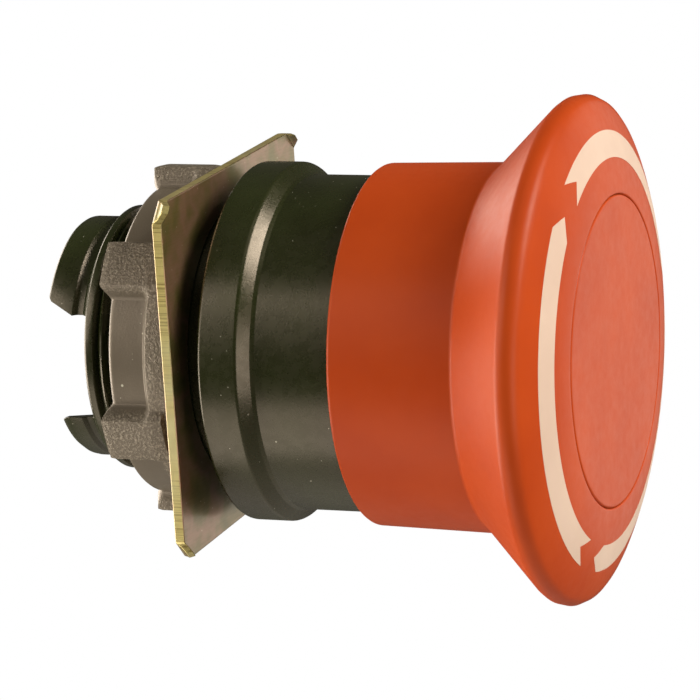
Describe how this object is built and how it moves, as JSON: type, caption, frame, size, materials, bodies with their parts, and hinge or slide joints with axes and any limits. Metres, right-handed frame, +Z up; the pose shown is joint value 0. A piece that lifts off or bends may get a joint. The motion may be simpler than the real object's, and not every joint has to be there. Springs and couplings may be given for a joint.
{
  "type": "emergency stop button",
  "caption": "Panel-mounted emergency stop operator with a red mushroom head that latches when pushed and is released by turning, with its mounting nut and plate.",
  "frame": {"origin": "centre of the flange's rear face, where it seats on the panel", "axes": "+Y along the push axis, into the panel; -Y is the head's face; +Z is up"},
  "size_m": [0.04, 0.0446, 0.04],
  "materials": {
    "black_plastic": "moulded, satin",
    "nut_plastic": "moulded, satin",
    "red_plastic": "moulded, semi-gloss",
    "cream_plastic": "moulded inlay",
    "pom_natural": "acetal, satin",
    "grey_plastic": "moulded, satin",
    "seal_rubber": "matt rubber",
    "spring_steel": "drawn wire",
    "pin_steel": "turned",
    "zinc_yellow": "zinc plated, yellow passivated"
  },
  "bodies": {
    "housing": {"bezel_housing": "black_plastic", "latch_guide_ring": "pom_natural", "front_guide_bush": "pom_natural", "rear_guide_bush": "pom_natural", "wiper_seal": "seal_rubber", "panel_gasket": "seal_rubber", "return_spring": "spring_steel", "latch_spring_right": "spring_steel", "latch_spring_left": "spring_steel"},
    "plunger": {"stem": "grey_plastic", "spring_seat": "grey_plastic", "retaining_clip": "spring_steel", "rear_pusher": "grey_plastic", "head_washer": "pin_steel", "head_screw": "pin_steel"},
    "head": {"head_cap": "red_plastic", "arrow_inlays": "cream_plastic", "centre_cover": "red_plastic", "release_ring": "pom_natural", "torsion_spring": "spring_steel"},
    "latch_right": {"latch_pin_right": "pin_steel"},
    "latch_left": {"latch_pin_left": "pin_steel"},
    "plate": {"thrust_plate": "zinc_yellow"},
    "nut": {"ring_nut": "nut_plastic"}
  },
  "joints": [
    {"name": "push", "type": "slide", "parent": "housing", "child": "plunger", "axis": [0, 1, 0], "range_m": [0, 0.0055], "stiffness_N_per_m": 600, "springref_m": -0.01, "deforming": ["return_spring"]},
    {"name": "twist_release", "type": "hinge", "parent": "plunger", "child": "head", "pos_m": [0, -0.02, 0], "axis": [0, 1, 0], "range_deg": [0, 35], "stiffness_Nm_per_rad": 0.05, "springref_deg": -20.05, "deforming": ["torsion_spring"]},
    {"name": "latch_right_slide", "type": "slide", "parent": "housing", "child": "latch_right", "axis": [1, 0, 0], "range_m": [0, 0.00125], "deforming": ["latch_spring_right"]},
    {"name": "latch_left_slide", "type": "slide", "parent": "housing", "child": "latch_left", "axis": [-1, 0, 0], "range_m": [0, 0.00125], "deforming": ["latch_spring_left"]},
    {"name": "plate_slide", "type": "slide", "parent": "housing", "child": "plate", "axis": [0, 1, 0], "range_m": [-0.00101, 0.00301]},
    {"name": "nut_spin", "type": "hinge", "parent": "plate", "child": "nut", "pos_m": [0, 0.006, 0], "axis": [0, 1, 0], "range_deg": [-240, 720]}
  ],
  "couplings": [
    {"joint": "latch_right_slide", "follows": "push", "ratio": 0.21818},
    {"joint": "latch_left_slide", "follows": "push", "ratio": 0.21818},
    {"joint": "plate_slide", "follows": "nut_spin", "m_per_rad": 0.00023873}
  ]
}
